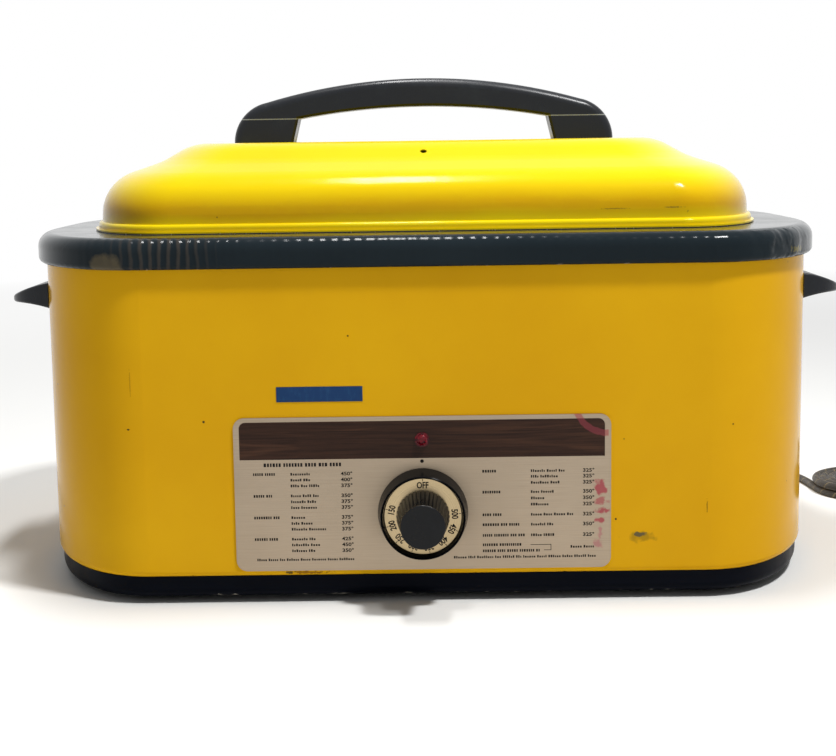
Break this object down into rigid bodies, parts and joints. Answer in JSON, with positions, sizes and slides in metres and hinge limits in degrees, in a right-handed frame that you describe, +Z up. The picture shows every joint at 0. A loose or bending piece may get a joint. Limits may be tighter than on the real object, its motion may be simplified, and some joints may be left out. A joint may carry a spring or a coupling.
{
  "type": "electric roaster oven",
  "caption": "Countertop electric roaster oven: tall round-ended enamelled casing, rolled rim, lift-off pressed lid with a bail handle, lift-out pan, and a control plate with thermostat knob.",
  "frame": {"origin": "on the surface it stands on, under the middle of its box without the cord, knob included", "axes": "+X to the right along the casing, +Y to the back, +Z up; the control panel faces -Y"},
  "size_m": [0.7139, 0.4979, 0.335],
  "materials": {
    "shell_enamel": "gloss golden yellow baked enamel on steel",
    "lid_enamel": "gloss lemon yellow baked enamel on steel",
    "black_enamel": "gloss black enamel on steel",
    "pan_enamel": "dark speckled porcelain enamel on steel",
    "liner_steel": "plain mill-finish sheet",
    "panel_metal": "brushed, lacquered",
    "dial_metal": "satin champagne",
    "phenolic": "polished black phenolic",
    "jewel": "red faceted jewel",
    "neon_lamp": "clear lamp body in a light sleeve",
    "zinc": "zinc-plated",
    "spring_steel": "plain",
    "mica_band": "heating band in thin sheet",
    "glass_fibre": "matt pale glass-fibre blanket",
    "stat_body": "brown moulded body",
    "block_ceramic": "matt white",
    "wire_sleeve": "woven glass sleeve",
    "foot_rubber": "matt black",
    "relief_rubber": "matt black",
    "cord_textile": "dark brown and black braided cotton",
    "plug_rubber": "satin black moulded rubber",
    "blade_brass": "plain brass"
  },
  "bodies": {
    "base": {"outer_shell": "shell_enamel", "rim_collar": "black_enamel", "base_tray": "black_enamel", "feet": "foot_rubber", "tie_posts": "zinc", "base_screws": "zinc", "heat_well": "liner_steel", "heating_band": "mica_band", "band_clamp": "zinc", "side_blanket": "glass_fibre", "base_blanket": "glass_fibre", "control_panel": "panel_metal", "pilot_lens": "jewel", "pilot_lamp": "neon_lamp", "lamp_clip": "spring_steel", "thermostat_bracket": "zinc", "thermostat_body": "stat_body", "thermostat_nut": "zinc", "terminal_block": "block_ceramic", "inner_wires": "wire_sleeve", "side_handle_left": "phenolic", "side_handle_right": "phenolic", "handle_spacers": "zinc", "handle_screws": "zinc", "strain_relief": "relief_rubber", "power_cord": "cord_textile", "cord_coil": "cord_textile", "plug_lead": "cord_textile", "plug_body": "plug_rubber", "plug_blades": "blade_brass"},
    "pan": {"cook_pan": "pan_enamel"},
    "lid": {"lid_shell": "lid_enamel", "lid_grip": "phenolic", "lid_post_left": "phenolic", "lid_post_right": "phenolic", "lid_washers": "zinc", "lid_screws": "zinc"},
    "knob": {"knob_skirt": "phenolic", "dial_ring": "dial_metal", "knob_hub": "phenolic", "thermostat_shaft": "zinc"}
  },
  "joints": [
    {"name": "pan_lift", "type": "slide", "parent": "base", "child": "pan", "axis": [0, 0, 1], "range_m": [0, 0.2]},
    {"name": "lid_lift", "type": "slide", "parent": "pan", "child": "lid", "axis": [0, 0, 1], "range_m": [0, 0.15]},
    {"name": "thermostat_turn", "type": "hinge", "parent": "base", "child": "knob", "pos_m": [-0.0032, -0.1683, 0.0585], "axis": [0, 1, 0], "range_deg": [0, 270]}
  ]
}
